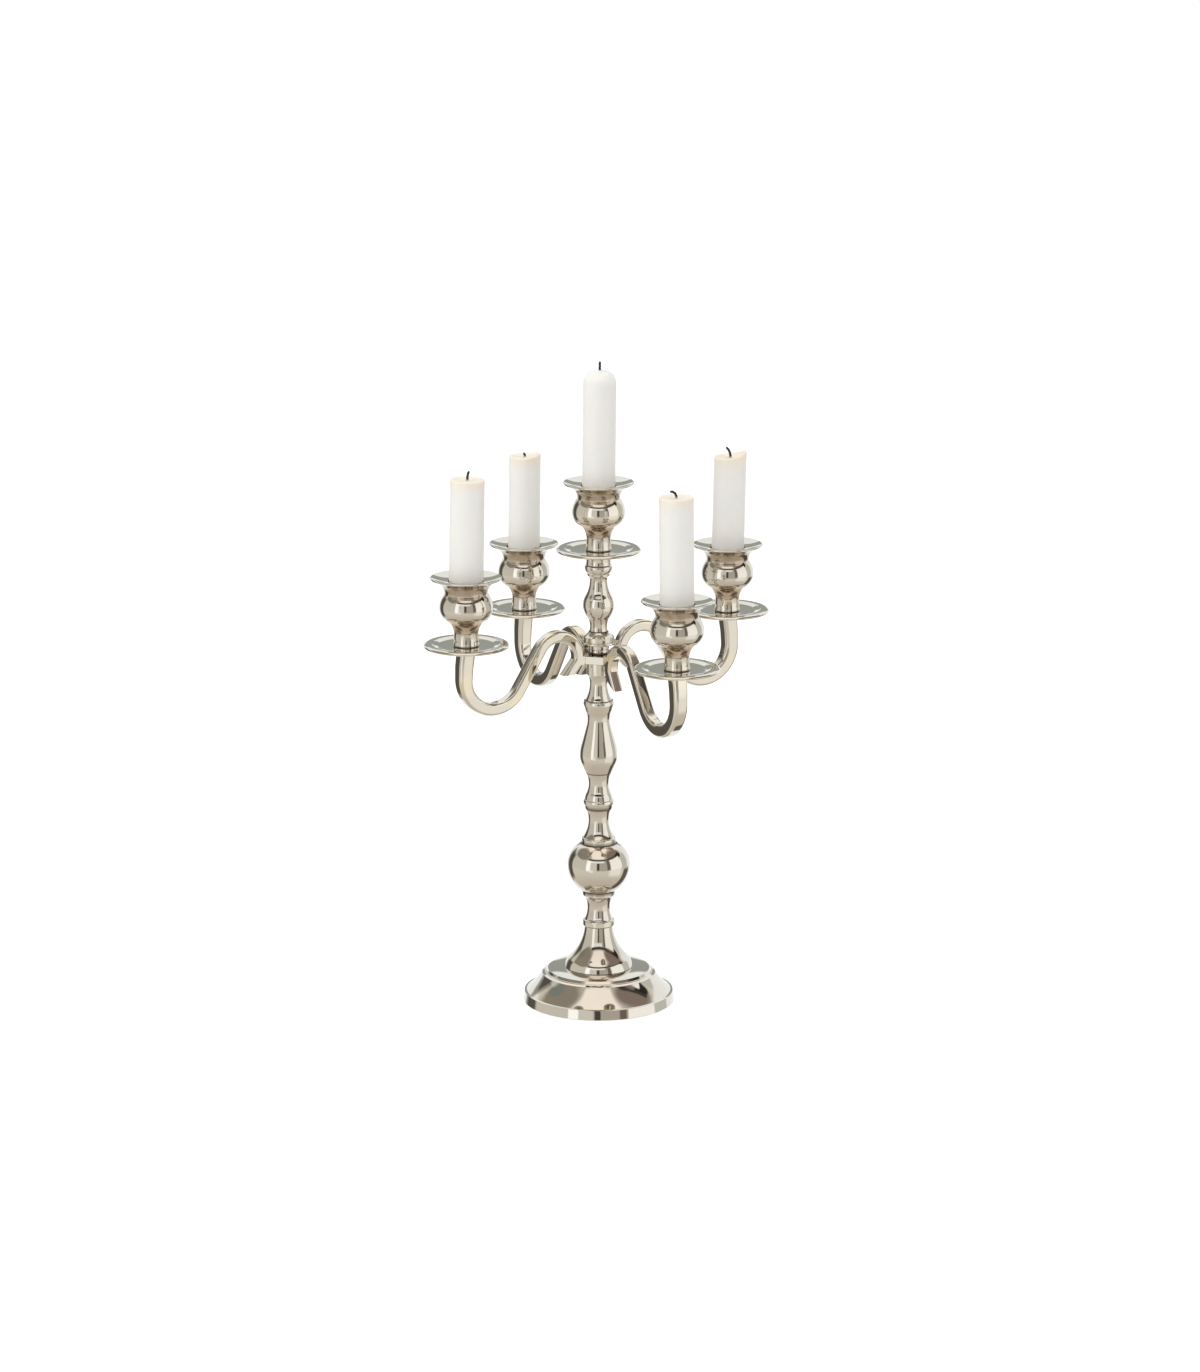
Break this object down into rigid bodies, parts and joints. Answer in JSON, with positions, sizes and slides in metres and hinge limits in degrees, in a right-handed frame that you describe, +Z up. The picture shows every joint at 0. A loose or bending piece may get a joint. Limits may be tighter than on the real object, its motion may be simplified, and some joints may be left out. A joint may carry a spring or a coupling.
{
  "type": "tabletop candelabra",
  "caption": "Polished nickel tabletop candelabra: turned baluster stem on a round stepped foot, S-curved arms and a raised centre light, each with drip pan, cup and dinner candle.",
  "frame": {"origin": "centre of the foot's underside, on the table", "axes": "+Z up the stem, +X towards the right arm, -Y towards the front arm"},
  "size_m": [0.2544, 0.2544, 0.4323],
  "materials": {
    "nickel": "cast metal, mirror polished and nickel plated, warm tone",
    "steel": "zinc-plated rolled thread stock",
    "felt": "dense glued wool felt",
    "wax": "white paraffin wax, smooth and slightly translucent",
    "wick": "braided cotton, burnt at its end"
  },
  "bodies": {
    "root": {"foot": "nickel", "stem_flare": "nickel", "stem_lower_neck": "nickel", "stem_ball": "nickel", "stem_waist": "nickel", "stem_ring": "nickel", "stem_baluster": "nickel", "stem_upper_neck": "nickel", "arm_hub": "nickel", "hub_cap": "nickel", "top_baluster": "nickel", "arm_left": "nickel", "arm_right": "nickel", "arm_front": "nickel", "arm_back": "nickel", "drip_pan_centre": "nickel", "drip_pan_left": "nickel", "drip_pan_right": "nickel", "drip_pan_front": "nickel", "drip_pan_back": "nickel", "candle_cup_centre": "nickel", "candle_cup_left": "nickel", "candle_cup_right": "nickel", "candle_cup_front": "nickel", "candle_cup_back": "nickel", "foot_washer": "steel", "foot_nut": "steel", "tie_rod": "steel", "cup_stud_centre": "steel", "cup_stud_left": "steel", "cup_stud_right": "steel", "cup_stud_front": "steel", "cup_stud_back": "steel", "felt_pad": "felt"},
    "lit_candle_centre": {"candle_centre": "wax", "wick_centre": "wick"},
    "lit_candle_left": {"candle_left": "wax", "wick_left": "wick"},
    "lit_candle_right": {"candle_right": "wax", "wick_right": "wick"},
    "lit_candle_front": {"candle_front": "wax", "wick_front": "wick"},
    "lit_candle_back": {"candle_back": "wax", "wick_back": "wick"}
  },
  "joints": [
    {"name": "lift_candle_centre", "type": "slide", "parent": "root", "child": "lit_candle_centre", "axis": [0.0075, -0.0044, 1], "range_m": [0, 0.035]},
    {"name": "lift_candle_left", "type": "slide", "parent": "root", "child": "lit_candle_left", "axis": [0.0151, -0.0088, 0.9998], "range_m": [0, 0.035]},
    {"name": "lift_candle_right", "type": "slide", "parent": "root", "child": "lit_candle_right", "axis": [0.0181, -0.0106, 0.9998], "range_m": [0, 0.035]},
    {"name": "lift_candle_front", "type": "slide", "parent": "root", "child": "lit_candle_front", "axis": [-0.009, 0.0053, 0.9999], "range_m": [0, 0.035]},
    {"name": "lift_candle_back", "type": "slide", "parent": "root", "child": "lit_candle_back", "axis": [0.0105, -0.0062, 0.9999], "range_m": [0, 0.035]}
  ]
}
